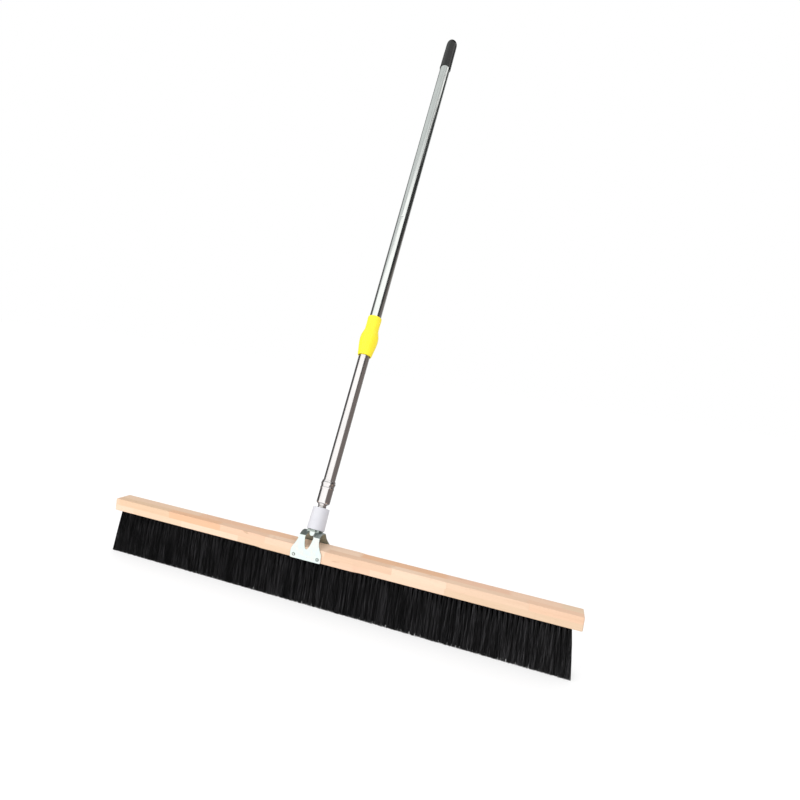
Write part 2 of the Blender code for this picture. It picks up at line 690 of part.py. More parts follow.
tilt_pivot = frame_empty("tilt_pivot", location=(BRACKET_X, 0, ROOF_CENTRE), rotation=(-TILT, 0, 0))
socket_seat = frame_empty("socket_seat", tilt_pivot, location=(0, 0, SOCKET_BASE))
handle_axis = frame_empty("handle_axis", socket_seat)
extension_axis = frame_empty("extension_axis", handle_axis)

seat_washer(tilt_pivot)
clamp_saddle(tilt_pivot)
socket_bolt(tilt_pivot)
socket_fasteners(tilt_pivot)
handle_socket(socket_seat)

threaded_tip(handle_axis)
tip_ferrule(handle_axis)
tube("lower_tube", LOWER_TUBE_RADIUS, LOWER_TUBE_START, LOWER_TUBE_END, handle_axis, steel)
guide_bush(handle_axis)

tube("upper_tube", UPPER_TUBE_RADIUS, UPPER_TUBE_START, UPPER_TUBE_END, extension_axis, steel)
locking_collet(extension_axis)
lock_collar(extension_axis)
end_grip(extension_axis)
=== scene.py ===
"""Looks of the push broom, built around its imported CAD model.

Everything is in metres in the model's frame: +X along the block, +Y towards the back, +Z up,
floor at 0. Pieces of the handle are built along their own Z, in stations counted from the
socket's underside.
"""
import json
import math

import bmesh
import bpy
import numpy as np
from mathutils import Matrix, Vector
from mathutils.geometry import interpolate_bezier


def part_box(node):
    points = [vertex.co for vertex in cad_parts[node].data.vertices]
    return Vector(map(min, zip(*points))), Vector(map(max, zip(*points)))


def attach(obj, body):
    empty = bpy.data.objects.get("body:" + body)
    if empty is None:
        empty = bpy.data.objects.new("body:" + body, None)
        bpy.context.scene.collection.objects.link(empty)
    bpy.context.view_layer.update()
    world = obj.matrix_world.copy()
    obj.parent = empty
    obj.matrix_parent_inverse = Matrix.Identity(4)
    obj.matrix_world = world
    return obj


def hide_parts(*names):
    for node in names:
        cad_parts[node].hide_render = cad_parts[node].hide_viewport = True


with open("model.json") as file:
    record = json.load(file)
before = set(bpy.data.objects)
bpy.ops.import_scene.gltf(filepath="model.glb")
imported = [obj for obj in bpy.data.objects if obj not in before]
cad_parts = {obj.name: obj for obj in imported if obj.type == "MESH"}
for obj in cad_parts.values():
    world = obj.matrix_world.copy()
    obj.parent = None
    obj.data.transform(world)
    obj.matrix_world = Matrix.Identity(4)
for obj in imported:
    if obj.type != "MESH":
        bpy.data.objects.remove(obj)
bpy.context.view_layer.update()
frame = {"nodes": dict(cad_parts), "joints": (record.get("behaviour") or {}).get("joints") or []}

MM = 0.001

# ---- places and sizes taken from the frame ----------------------------------------------

HEAD = "brush_head"
SOCKET = "socket_unit"
LOWER = "lower_handle"
UPPER = "upper_handle"
COLLAR = "collar"

joints = {joint["name"]: joint for joint in frame["joints"]}
PIVOT = Vector(joints["handle_unscrew"]["pos_m"])
AXIS = Vector(joints["handle_unscrew"]["axis"]).normalized()
TURN = Vector((0, 0, 1)).rotation_difference(AXIS).to_matrix().to_4x4()
ON_PIVOT = Matrix.Translation(PIVOT) @ TURN
BRACKET_X = PIVOT.x


def stations(node):
    """Lowest and highest station of a CAD node above the pivot, along the handle's axis."""
    along = [(v.co - PIVOT).dot(AXIS) for v in frame["nodes"][node].data.vertices]
    return min(along), max(along)


SEAT_TO_SOCKET = stations("handle_socket")[0]
ON_SOCKET = Matrix.Translation(PIVOT + AXIS * SEAT_TO_SOCKET) @ TURN


def station_span(node):
    """Lowest and highest station of a CAD node above the socket's underside."""
    low, high = stations(node)
    return low - SEAT_TO_SOCKET, high - SEAT_TO_SOCKET


BLOCK_LOW, BLOCK_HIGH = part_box("brush_block")
BLOCK_HALF_LENGTH = BLOCK_HIGH.x
ZONE_HALF_DEPTH = BLOCK_HIGH.y
BLOCK_BOTTOM = BLOCK_LOW.z
BLOCK_TOP = BLOCK_HIGH.z
BLOCK_HALF_DEPTH = 0.024
ZONE_HALF = 0.115
SHOULDER = 0.024
BLOCK_CORNER = 0.003
BLOCK_EDGE = 0.0022

ROWS = 5
ROW_PITCH = 0.009
TIP_PITCH = 0.0115
TUFT_PITCH = 0.0113
ROW_SHIFTS = (0.05, 0.02, 0.08, 0.04, 0.50)
TUFT_RADIUS = 0.0027
TUFT_HOLE_DEPTH = 0.009
ROW_HALF_TOP = 0.5805
ROW_HALF_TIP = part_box("bristle_row_1")[1].x

SHEET = 0.002
GAP = 0.0003
ROOF_RADIUS = 0.030
ROOF_CENTRE_Z = PIVOT.z - BLOCK_BOTTOM
FRONT_FACE = ZONE_HALF_DEPTH + GAP + SHEET
BRACKET_HALF_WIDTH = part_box("saddle_bracket")[1].x - BRACKET_X
SEAT_LOW = 0.0262

LOWER_RADIUS = 0.0150
UPPER_RADIUS = 0.0160
TUBE_WALL = 0.00065


# ---- geometry helpers -------------------------------------------------------------------

def arc(centre_r, centre_z, radius, start, end, steps):
    """Points of an arc in the (r, z) plane, angles in degrees from +r towards +z."""
    angles = [math.radians(start + (end - start) * i / steps) for i in range(steps + 1)]
    return [(centre_r + radius * math.cos(a), centre_z + radius * math.sin(a)) for a in angles]


def bezier(start, handle_a, handle_b, end, steps):
    """Points of a Bezier arc between two points of the plane."""
    knots = [Vector((x, y, 0)) for x, y in (start, handle_a, handle_b, end)]
    return [(p.x, p.y) for p in interpolate_bezier(*knots, steps + 1)]


def mirrored(outline):
    """Close a right-hand outline, given bottom to top, with its mirror image."""
    return outline + [(-x, y) for x, y in reversed(outline) if x > 0]


def finish_mesh(mesh, angle=35):
    """Smooth shading with edges sharper than the angle kept sharp."""
    mesh.shade_smooth()
    mesh.set_sharp_from_angle(angle=math.radians(angle))
    return mesh


def show(name, mesh, mat, body, replaced, matrix):
    """Add a piece with its material and slot, riding on a body, in place of a CAD node."""
    mesh.transform(matrix)
    obj = bpy.data.objects.new(name, mesh)
    mesh.materials.clear()
    mesh.materials.append(mat)
    bpy.context.scene.collection.objects.link(obj)
    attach(obj, body)
    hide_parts(replaced)


def turned(name, profile, closed=True, segments=96, shape=None):
    """Mesh of a profile of (r, z) points turned about Z, top to bottom on its outer side.

    shape(angle, r, z) may give a changed radius, for threads and dimples.
    """
    mesh = bpy.data.meshes.new(name)
    bm = bmesh.new()
    rings = []
    for i in range(segments):
        a = 2 * math.pi * i / segments
        ring = []
        for r, z in profile:
            radius = shape(a, r, z) if shape and r > 0 else r
            ring.append(bm.verts.new((radius * math.cos(a), radius * math.sin(a), z)))
        rings.append(ring)
    count = len(profile)
    last = count if closed else count - 1
    for i in range(segments):
        here = rings[i]
        there = rings[(i + 1) % segments]
        for j in range(last):
            k = (j + 1) % count
            corners = (here[j], here[k], there[k], there[j])
            bm.faces.new(corners)
    bmesh.ops.remove_doubles(bm, verts=bm.verts, dist=0.000002)
    bmesh.ops.dissolve_degenerate(bm, edges=bm.edges, dist=0.000001)
    bmesh.ops.recalc_face_normals(bm, faces=bm.faces)
    bm.to_mesh(mesh)
    bm.free()
    return finish_mesh(mesh)


def box_mesh(name, low, high):
    """A box between two corners."""
    mesh = bpy.data.meshes.new(name)
    bm = bmesh.new()
    bmesh.ops.create_cube(bm, size=1.0)
    for v in bm.verts:
        v.co = Vector(lo + (c + 0.5) * (hi - lo) for lo, hi, c in zip(low, high, v.co))
    bm.to_mesh(mesh)
    bm.free()
    return mesh


def plate_mesh(name, outline, thickness, axis="Z"):
    """A flat outline as a plate centred on its plane; axis Y stands it up, facing -Y."""
    mesh = bpy.data.meshes.new(name)
    bm = bmesh.new()
    face = bm.faces.new([bm.verts.new((x, y, -thickness / 2)) for x, y in outline])
    grown = bmesh.ops.extrude_face_region(bm, geom=[face])
    moved = [v for v in grown["geom"] if isinstance(v, bmesh.types.BMVert)]
    bmesh.ops.translate(bm, verts=moved, vec=(0, 0, thickness))
    bmesh.ops.recalc_face_normals(bm, faces=bm.faces)
    if axis == "Y":
        bmesh.ops.rotate(bm, verts=bm.verts, matrix=Matrix.Rotation(math.pi / 2, 3, "X"))
    bm.to_mesh(mesh)
    bm.free()
    return mesh


def tool(mesh, matrix=Matrix.Identity(4)):
    """A scratch object for a modifier."""
    obj = bpy.data.objects.new("tool", mesh)
    bpy.context.scene.collection.objects.link(obj)
    obj.matrix_world = matrix
    return obj


def bevel(obj, width, segments, angle=40):
    """Round the sharp edges."""
    mod = obj.modifiers.new("bevel", "BEVEL")
    mod.width = width
    mod.segments = segments
    mod.limit_method = "ANGLE"
    mod.angle_limit = math.radians(angle)
    mod.miter_outer = "MITER_ARC"


def boolean(obj, other, operation="DIFFERENCE"):
    """Cut, join or intersect with another scratch object."""
    mod = obj.modifiers.new("boolean", "BOOLEAN")
    mod.operation = operation
    mod.solver = "EXACT"
    mod.object = other


def baked(obj, *others, angle=35, weighted=False):
    """The mesh of a scratch object with its modifiers applied; the scratch objects go."""
    if weighted:
        mod = obj.modifiers.new("normals", "WEIGHTED_NORMAL")
        mod.keep_sharp = True
    bpy.context.view_layer.update()
    evaluated = obj.evaluated_get(bpy.context.evaluated_depsgraph_get())
    mesh = bpy.data.meshes.new_from_object(evaluated)
    for scratch in (obj, *others):
        bpy.data.objects.remove(scratch, do_unlink=True)
    if not weighted:
        finish_mesh(mesh, angle)
    return mesh


def joined(name, meshes):
    """One mesh of several (mesh, matrix) pairs."""
    result = bpy.data.meshes.new(name)
    bm = bmesh.new()
    for mesh, matrix in meshes:
        copy = mesh.copy()
        copy.transform(matrix)
        bm.from_mesh(copy)
        bpy.data.meshes.remove(copy)
    bm.to_mesh(result)
    bm.free()
    return result


# ---- materials --------------------------------------------------------------------------

class Wiring:
    """Short calls that add nodes to a node tree and link them."""

    def __init__(self, tree):
        self.tree = tree

    def add(self, kind, inputs=None, **settings):
        """A node with its settings and inputs; an input is a value or another node's output."""
        node = self.tree.nodes.new(kind)
        for key, value in settings.items():
            setattr(node, key, value)
        for key, value in (inputs or {}).items():
            self.feed(node.inputs[key], value)
        return node

    def feed(self, socket, value):
        """Link another node's output to an input, or set the input's value."""
        if isinstance(value, bpy.types.NodeSocket):
            self.tree.links.new(value, socket)
        else:
            socket.default_value = value

    def split(self, vector):
        """The x, y and z of a vector."""
        return self.add("ShaderNodeSeparateXYZ", {0: vector}).outputs

    def spread(self, value, low, high, to_low=0.0, to_high=1.0, smooth=True):
        """Map a value range to another, clamped."""
        inputs = {"Value": value, "From Min": low, "From Max": high,
                  "To Min": to_low, "To Max": to_high}
        kind = "SMOOTHSTEP" if smooth else "LINEAR"
        return self.add("ShaderNodeMapRange", inputs, interpolation_type=kind).outputs["Result"]

    def window(self, value, low, full, fading, gone, peak=1.0):
        """0 outside low and gone, peak between full and fading."""
        rise = self.spread(value, low, full)
        return self.math("MULTIPLY", rise, self.spread(value, fading, gone, peak, 0.0))

    def math(self, operation, a, b=0.0):
        return self.add("ShaderNodeMath", {0: a, 1: b}, operation=operation).outputs[0]

    def mix(self, factor, a, b):
        """Mix two colours."""
        node = self.add("ShaderNodeMix", data_type="RGBA")
        colours = [s for s in node.inputs if s.type == "RGBA"]
        self.feed(node.inputs[0], factor)
        for socket, value in zip(colours, (a, b)):
            self.feed(socket, value if isinstance(value, bpy.types.NodeSocket) else (*value, 1.0))
        return [s for s in node.outputs if s.type == "RGBA"][0]


class Shader(Wiring):
    """A Principled material whose nodes are wired by short calls.

    With on_handle its patterns run along the handle's axis instead of straight up.
    """

    def __init__(self, name, roughness, metallic=0.0, on_handle=False):
        self.mat = bpy.data.materials.new(name)
        self.mat.use_nodes = True
        super().__init__(self.mat.node_tree)
        self.bsdf = self.tree.nodes["Principled BSDF"]
        self.set("Roughness", roughness)
        self.set("Metallic", metallic)
        self.place = self.add("ShaderNodeTexCoord").outputs["Object"]
        if on_handle:
            lean = math.atan2(AXIS.y, AXIS.z)
            inputs = {"Vector": self.place, "Center": PIVOT, "Angle": lean}
            upright = self.add("ShaderNodeVectorRotate", inputs, rotation_type="X_AXIS")
            self.place = upright.outputs[0]

    def set(self, name, value):
        """An input of the Principled node."""
        self.feed(self.bsdf.inputs[name], value)

    def stretched(self, scale):
        """Object coordinates scaled along each axis."""
        inputs = {0: self.place, 1: scale}
        return self.add("ShaderNodeVectorMath", inputs, operation="MULTIPLY").outputs[0]

    def noise(self, scale, detail, rough, distortion=0.0):
        """Noise from 0 to 1 with features of 1/scale metres along each axis."""
        inputs = {"Vector": self.stretched(scale), "Scale": 1.0, "Detail": detail,
                  "Roughness": rough, "Distortion": distortion}
        return self.add("ShaderNodeTexNoise", inputs).outputs["Fac"]

    def bump(self, height, distance, strength, below=None):
        """Fine relief of the surface, on top of the relief below it."""
        inputs = {"Height": height, "Distance": distance, "Strength": strength}
        if below is not None:
            inputs["Normal"] = below
        normal = self.add("ShaderNodeBump", inputs).outputs["Normal"]
        self.set("Normal", normal)
        return normal


STAVE_LENGTH = 0.160
GLUE_LINE_Y = -0.0035
GLUE_LINE_Z = BLOCK_BOTTOM + 0.0155
GLUE_LINE = 0.0001
FINGER_WIDTH = 0.004
FINGER_SLOPE = 2.4


def wood_material():
    """Pale hardwood in finger-jointed lamellas, with grain along X and short dark flecks."""
    s = Shader("pale_hardwood", 0.5)
    x, y, z = s.split(s.place)
    layer = s.spread(z, GLUE_LINE_Z, GLUE_LINE_Z + GLUE_LINE, 0.0, 0.5, smooth=False)
    side = s.spread(y, GLUE_LINE_Y, GLUE_LINE_Y + GLUE_LINE, smooth=False)
    own_start = s.math("MULTIPLY", s.math("ADD", side, layer), 37.43)
    fingers = s.math("PINGPONG", y, FINGER_WIDTH)
    shifted = s.math("ADD", x, s.math("MULTIPLY", fingers, FINGER_SLOPE))
    along = s.math("ADD", s.math("DIVIDE", shifted, STAVE_LENGTH), own_start)
    staves = {"W": along, "Scale": 1.0, "Randomness": 0.75}
    cells = s.add("ShaderNodeTexVoronoi", staves, voronoi_dimensions="1D")
    edge = s.add("ShaderNodeTexVoronoi", staves, voronoi_dimensions="1D",
                 feature="DISTANCE_TO_EDGE").outputs["Distance"]
    tone = s.add("ShaderNodeSeparateColor", {0: cells.outputs["Color"]})
    offset = s.add("ShaderNodeCombineXYZ", {0: s.math("MULTIPLY", tone.outputs[0], 3.0),
                                             1: tone.outputs[1], 2: tone.outputs[2]}).outputs[0]
    moved = s.add("ShaderNodeVectorMath", {0: s.place, 1: offset}, operation="ADD").outputs[0]
    plain_place = s.place
    s.place = moved
    broad = s.noise((2.2, 34.0, 34.0), 2.0, 0.5, 0.6)
    grain = s.noise((9.0, 420.0, 420.0), 4.0, 0.6, 0.2)
    pores = s.noise((130.0, 1500.0, 1500.0), 2.0, 0.5)
    knots = s.noise((24.0, 85.0, 85.0), 1.0, 0.5, 0.5)
    s.place = plain_place
    colour = s.mix(tone.outputs[0], (0.77, 0.57, 0.42), (0.71, 0.45, 0.31))
    colour = s.mix(s.spread(tone.outputs[1], 0.60, 0.85, 0.0, 0.8), colour, (0.70, 0.40, 0.22))
    colour = s.mix(s.spread(tone.outputs[2], 0.65, 0.9, 0.0, 0.7), colour, (0.66, 0.50, 0.34))
    colour = s.mix(s.spread(broad, 0.35, 0.75, 0.0, 0.30), colour, (0.64, 0.39, 0.25))
    colour = s.mix(s.spread(grain, 0.45, 0.80, 0.0, 0.25), colour, (0.54, 0.32, 0.19))
    colour = s.mix(s.spread(pores, 0.62, 0.74, 0.0, 0.35), colour, (0.46, 0.27, 0.15))
    colour = s.mix(s.spread(knots, 0.70, 0.76, 0.0, 0.45), colour, (0.42, 0.27, 0.16))
    joint = s.spread(edge, 0.0, 0.0022, 0.45, 0.0)
    colour = s.mix(joint, colour, (0.42, 0.24, 0.12))
    s.set("Base Color", colour)
    s.set("Roughness", s.spread(grain, 0.3, 0.8, 0.42, 0.60))
    s.set("Coat Weight", 0.12)
    s.set("Coat Roughness", 0.35)
    first = s.bump(grain, 0.00012, 0.5)
    s.bump(s.math("SUBTRACT", 1.0, pores), 0.00008, 0.4, first)
    return s.mat


def bristle_material():
    """Black filament with a slight sheen; grey strands and bands in its colour are painted sheen
    and painted light on lit tufts, and darker patches are painted shade.
    """
    s = Shader("black_filament", 0.42)
    strands = s.noise((900.0, 900.0, 12.0), 2.0, 0.6)
    tufts = s.noise((110.0, 60.0, 4.0), 2.0, 0.5)
    lit_tuft_bands = s.noise((280.0, 100.0, 8.0), 2.0, 0.6)
    # Painted sheen and painted light: grey strands stand for sheen on the filaments, grey bands for
    # lit tuft middles, and darker tuft patches are painted shade.
    colour = s.mix(s.spread(strands, 0.35, 0.75), (0.004, 0.004, 0.0045), (0.080, 0.078, 0.083))
    colour = s.mix(s.spread(lit_tuft_bands, 0.42, 0.62), (0.004, 0.004, 0.0045), colour)
    colour = s.mix(s.spread(tufts, 0.4, 0.7, 0.0, 0.3), colour, (0.010, 0.010, 0.011))
    s.set("Base Color", colour)
    s.set("Roughness", s.spread(strands, 0.3, 0.7, 0.36, 0.55))
    s.bump(strands, 0.00005, 0.4)
    return s.mat


def zinc_material(name="zinc_plate", colour=(0.74, 0.86, 0.84), roughness=0.27, shade_from=None):
    """Bright zinc plate: blue-green tint in clouds, fine rolling lines and small scuffs.

    Painted shade: faces that look up and the inside of a rear leg get a darker colour, and so
    does everything more than shade_from above the pivot; the same mask also raises roughness.
    """
    s = Shader(name, roughness, 1.0, shade_from is not None)
    clouds = s.noise((60.0, 60.0, 60.0), 3.0, 0.6, 0.4)
    rolled = s.noise((3000.0, 3000.0, 60.0), 2.0, 0.5)
    scuffs = s.noise((240.0, 900.0, 420.0), 4.0, 0.7, 1.2)
    tinted = s.mix(s.spread(clouds, 0.35, 0.7), colour, (0.80, 0.82, 0.79))
    tinted = s.mix(s.spread(scuffs, 0.60, 0.75, 0.0, 0.5), tinted, (0.56, 0.60, 0.60))
    facing = s.split(s.add("ShaderNodeNewGeometry").outputs["Normal"])
    # Painted shade mask: the inside of the rear leg, faces that look up, and everything above
    # shade_from.
    rear = s.spread(s.split(s.place)[1], 0.004, 0.010)
    rear_leg_shade = s.math("MULTIPLY", rear, s.spread(facing[1], -0.4, -0.2, 1.0, 0.0))
    shade_mask = s.math("MAXIMUM", s.spread(facing[2], 0.50, 0.75), rear_leg_shade)
    if shade_from:
        above = s.math("SUBTRACT", s.split(s.place)[2], PIVOT.z)
        shade_mask = s.math("MAXIMUM", shade_mask, s.spread(above, shade_from, shade_from + MM))
    # Painted shade: the masked parts take a darker grey-green.
    shaded_tint = s.mix(shade_mask, tinted, (0.40, 0.46, 0.43))
    s.set("Base Color", shaded_tint)
    wear = s.spread(scuffs, 0.45, 0.8, roughness - 0.05, roughness + 0.22)
    s.set("Roughness", s.math("ADD", wear, s.math("MULTIPLY", shade_mask, 0.15)))
    first = s.bump(clouds, 0.00015, 0.25)
    s.bump(rolled, 0.00001, 0.35, first)
    return s.mat


def steel_material(name="polished_tube", colour=(0.82, 0.80, 0.80), roughness=0.11):
    """Polished stainless tube with fine lines along its length and faint smudges."""
    s = Shader(name, roughness, 1.0, True)
    lines = s.noise((5200.0, 5200.0, 7.0), 2.0, 0.5)
    smudges = s.noise((38.0, 38.0, 9.0), 4.0, 0.65, 0.8)
    tint = s.mix(s.spread(smudges, 0.4, 0.7), colour, tuple(0.93 * c for c in colour))
    s.set("Base Color", tint)
    base = s.spread(smudges, 0.35, 0.75, roughness - 0.02, roughness + 0.10)
    s.set("Roughness", s.math("ADD", base, s.spread(lines, 0.3, 0.8, -0.02, 0.05)))
    s.bump(lines, 0.000004, 0.5)
    return s.mat


def plastic_material(name, colour, shade, roughness, grain=0.00004, coat=0.0, size=900.0):
    """Moulded plastic: faint mottling and a fine moulded texture."""
    s = Shader(name, roughness)
    mottle = s.noise((26.0, 26.0, 26.0), 3.0, 0.5)
    texture = s.noise((size, size, size), 2.0, 0.6)
    s.set("Base Color", s.mix(s.spread(mottle, 0.3, 0.75), colour, shade))
    s.set("Roughness", s.spread(texture, 0.3, 0.7, roughness - 0.05, roughness + 0.08))
    s.set("Coat Weight", coat)
    s.set("Coat Roughness", 0.15)
    s.bump(texture, grain, 0.5)
    return s.mat


wood = wood_material()
filament = bristle_material()
zinc = zinc_material()
# Painted shade on the seat plate above SEAT_LOW, under the socket; the tongue below stays bright.
seat_zinc = zinc_material("zinc_seat", shade_from=SEAT_LOW)
screw_zinc = zinc_material("zinc_screw", (0.60, 0.68, 0.67), 0.30)
tube_steel = steel_material()
upper_steel = steel_material("polished_upper_tube", (0.79, 0.82, 0.805), 0.12)
tip_metal = steel_material("turned_metal", (0.70, 0.68, 0.67), 0.22)
white_plastic = plastic_material("white_plastic", (0.59, 0.59, 0.62), (0.55, 0.55, 0.59), 0.42)
yellow_plastic = plastic_material("yellow_plastic", (0.98, 0.81, 0.025), (0.95, 0.77, 0.02), 0.38,
                                  coat=0.15)
nylon = plastic_material("natural_nylon", (0.76, 0.75, 0.70), (0.70, 0.69, 0.64), 0.45)
rubber = plastic_material("black_rubber", (0.014, 0.0135, 0.0135), (0.010, 0.010, 0.010), 0.27,
                          grain=0.00008, size=1400.0)


# ---- brush block ------------------------------------------------------------------------

def tuft_places(row):
    """X positions of a row's tufts; each row is shifted its own way, so none line up to the eye."""
    first = -ROW_HALF_TOP + TUFT_RADIUS + ROW_SHIFTS[row] * TUFT_PITCH
    just_fits = 0.001
    steps = int((ROW_HALF_TOP - TUFT_RADIUS - first) / TUFT_PITCH + just_fits)
    return [first + i * TUFT_PITCH for i in range(steps + 1)]


def row_offset(row):
    """Steps of a row from the middle one."""
    return row - (ROWS - 1) / 2


def half_depth(x):
    """Half depth of the block at a distance x from the bracket's middle."""
    run = min(max((abs(x) - ZONE_HALF) / SHOULDER, 0.0), 1.0)
    blend = run * run * (3 - 2 * run)
    return ZONE_HALF_DEPTH + blend * (BLOCK_HALF_DEPTH - ZONE_HALF_DEPTH)


def block_outline():
    """Top view of the block: rounded corners, and a deeper zone with S-shaped shoulders."""
    steps = 24
    reach = [ZONE_HALF + SHOULDER * i / steps for i in range(steps + 1)]
    corner = arc(BLOCK_HALF_LENGTH - BLOCK_CORNER, BLOCK_HALF_DEPTH - BLOCK_CORNER,
                 BLOCK_CORNER, 0, 90, 12)
    right = [(BRACKET_X + x, half_depth(x)) for x in reversed(reach)]
    left = [(BRACKET_X - x, half_depth(x)) for x in reach]
    rear = corner + right + left + [(-x, y) for x, y in reversed(corner)]
    return rear + [(x, -y) for x, y in reversed(rear)]


SCREW_X = 0.031
SCREW_Z = BLOCK_BOTTOM + 0.0085
SCREW_HEAD_RADIUS = 0.0043
SCREW_HEAD_HEIGHT = 0.0027
SCREW_SHANK_RADIUS = 0.0019
SCREW_LENGTH = 0.022


def screw_place(side, hand):
    """Where a bracket screw sits: its Z points out of the block; side and hand are -1 or 1."""
    seat = Vector((BRACKET_X + hand * SCREW_X, side * (FRONT_FACE + GAP), SCREW_Z))
    return Matrix.Translation(seat) @ Matrix.Rotation(-side * math.pi / 2, 4, "X")


def rod_mesh(radius, low, high, segments=24):
    """A plain round rod along Z."""
    return turned("rod", [(0, high), (radius, high), (radius, low), (0, low)], False, segments)


def brush_block():
    """Wooden block with its tuft holes and the pilot holes of the bracket's screws."""
    height = BLOCK_TOP - BLOCK_BOTTOM
    raised = Matrix.Translation((0, 0, BLOCK_BOTTOM + height / 2))
    block = tool(plate_mesh("block", block_outline(), height), raised)
    bevel(block, BLOCK_EDGE, 4)
    hole = rod_mesh(TUFT_RADIUS + 0.0002, BLOCK_BOTTOM - 0.001, BLOCK_BOTTOM + TUFT_HOLE_DEPTH, 12)
    holes = [(hole, Matrix.Translation((x, row_offset(row) * ROW_PITCH, 0)))
             for row in range(ROWS) for x in tuft_places(row)]
    screw = rod_mesh(SCREW_SHANK_RADIUS + GAP, -SCREW_LENGTH - 0.001, 0.003)
    holes += [(screw, screw_place(side, hand)) for side in (-1, 1) for hand in (-1, 1)]
    drill = tool(joined("drill", holes))
    boolean(block, drill)
    mesh = baked(block, drill, weighted=True)
    show("wooden_block", mesh, wood, HEAD, "brush_block", raised)


# ---- bristles ---------------------------------------------------------------------------

FILAMENTS_PER_TUFT = 60
FILAMENT_RADIUS = 0.00045
FILAMENT_LEVELS = 5
FILAMENT_SIDES = 3
TIP_SPREAD_X = 0.0115 * 0.75
TIP_SPREAD_Y = 1.15
TIP_SCATTER_X = 0.0016
TIP_SCATTER_Y = 0.0006
TUFT_LEAN = 0.0006
BOW = 0.0007
RAGGED = 0.0030
HELD_SHARE = 0.07
ROW_DEPTH_TOP = 0.003
ROW_DEPTH_TIP = 0.00375
FIRST_SEED = 7


def filament_paths(row, rng):
    """Centre lines of a row's filaments: array of (filament, level, xyz), root to tip."""
    step = row_offset(row)
    centres = np.repeat(np.array(tuft_places(row)), FILAMENTS_PER_TUFT)
    count = len(centres)
    angle = rng.uniform(0, 2 * math.pi, count)
    reach = np.sqrt(rng.uniform(0, 1, count))
    root_x = reach * np.cos(angle) * (TUFT_RADIUS - FILAMENT_RADIUS)
    root_y = reach * np.sin(angle) * (TUFT_RADIUS - FILAMENT_RADIUS)
    lean = rng.normal(0, TUFT_LEAN, len(tuft_places(row))).repeat(FILAMENTS_PER_TUFT)
    tip_x = root_x / TUFT_RADIUS * TIP_SPREAD_X + lean + rng.normal(0, TIP_SCATTER_X, count)
    tip_y = root_y * TIP_SPREAD_Y + rng.normal(0, TIP_SCATTER_Y, count)
    flare = (ROW_HALF_TIP - ROW_HALF_TOP) * centres / ROW_HALF_TOP
    short = np.minimum(rng.exponential(RAGGED / 3, count), RAGGED)
    root_z = BLOCK_BOTTOM + TUFT_HOLE_DEPTH - 0.001
    bow = rng.normal(0, BOW, (count, 2))
    paths = np.zeros((count, FILAMENT_LEVELS, 3))
    for level in range(FILAMENT_LEVELS):
        s = (level / (FILAMENT_LEVELS - 1)) ** 1.5
        free = max(0.0, (s - HELD_SHARE) / (1 - HELD_SHARE))
        swing = math.sin(math.pi * free)
        half = ROW_DEPTH_TOP + (ROW_DEPTH_TIP - ROW_DEPTH_TOP) * free - FILAMENT_RADIUS
        x = centres + flare * free + root_x + (tip_x - root_x) * free ** 0.5 + bow[:, 0] * swing
        y = np.clip(root_y + (tip_y - root_y) * free + bow[:, 1] * swing, -half, half)
        limit = ROW_HALF_TOP + (ROW_HALF_TIP - ROW_HALF_TOP) * free - FILAMENT_RADIUS
        paths[:, level, 0] = np.clip(x, -limit, limit)
        paths[:, level, 1] = y + step * (ROW_PITCH + (TIP_PITCH - ROW_PITCH) * free)
        paths[:, level, 2] = root_z + (short - root_z) * s
    return paths


def bristle_row(row):
    """One row of filaments, each a thin three-sided rod with closed ends."""
    paths = filament_paths(row, np.random.default_rng(FIRST_SEED + row))
    count = len(paths)
    sides = FILAMENT_SIDES
    turn = np.arange(sides) * 2 * math.pi / sides + math.pi / 4
    ring = np.stack([np.cos(turn), np.sin(turn), np.zeros(sides)], 1) * FILAMENT_RADIUS
    verts = (paths[:, :, None, :] + ring).reshape(-1, 3)
    walls = []
    for level in range(FILAMENT_LEVELS - 1):
        for i in range(sides):
            j = (i + 1) % sides
            low = level * sides
            walls.append((low + i, low + sides + i, low + sides + j, low + j))
    end = (FILAMENT_LEVELS - 1) * sides
    ends = [tuple(range(sides)), tuple(end + i for i in reversed(range(sides)))]
    first = np.arange(count)[:, None, None] * (FILAMENT_LEVELS * sides)
    faces = (np.array(walls) + first).reshape(-1, 4).tolist()
    faces += (np.array(ends) + first).reshape(-1, sides).tolist()
    mesh = bpy.data.meshes.new("bristles")
    mesh.from_pydata(verts.tolist(), [], faces)
    mesh.update()
    finish_mesh(mesh, 80)
    number = str(row + 1)
    show("bristle_tufts_" + number, mesh, filament, HEAD, "bristle_row_" + number,
         Matrix.Identity(4))


# ---- saddle bracket ---------------------------------------------------------------------

ROOF_HALF_DEPTH = 0.019
LEG_BEND_Z = 0.0295
WAIST_HALF = 0.026


def fillet(corner, before, after, radius, steps):
    """Points of a rounded corner of a polyline."""
    p = Vector(corner)
    u = (Vector(before) - p).normalized()
    w = (Vector(after) - p).normalized()
    half = u.angle(w) / 2
    centre = p + (u + w).normalized() * radius / math.sin(half)
    start = p + u * radius / math.tan(half) - centre
    end = p + w * radius / math.tan(half) - centre
    spokes = [start.normalized().slerp(end.normalized(), i / steps) for i in range(steps + 1)]
    return [tuple(centre + spoke * radius) for spoke in spokes]


def saddle_profile():
    """Outer side of the bracket seen from its end: (y, z) from the front foot to the rear one."""
    bend = math.asin(ROOF_HALF_DEPTH / ROOF_RADIUS)
    steps = 48
    roof = []
    for i in range(steps + 1):
        a = -bend + 2 * bend * i / steps
        roof.append((ROOF_RADIUS * math.sin(a), ROOF_CENTRE_Z + ROOF_RADIUS * math.cos(a)))
    foot = (FRONT_FACE, 0.0)
    knee = (FRONT_FACE, LEG_BEND_Z)
    rear = [foot, (FRONT_FACE, 0.010)]
    rear += fillet(knee, foot, roof[-1], 0.006, 10) + fillet(roof[-1], knee, roof[-3], 0.0025, 6)
    front = [(-y, z) for y, z in rear]
    return front + roof[5:-5] + rear[::-1]


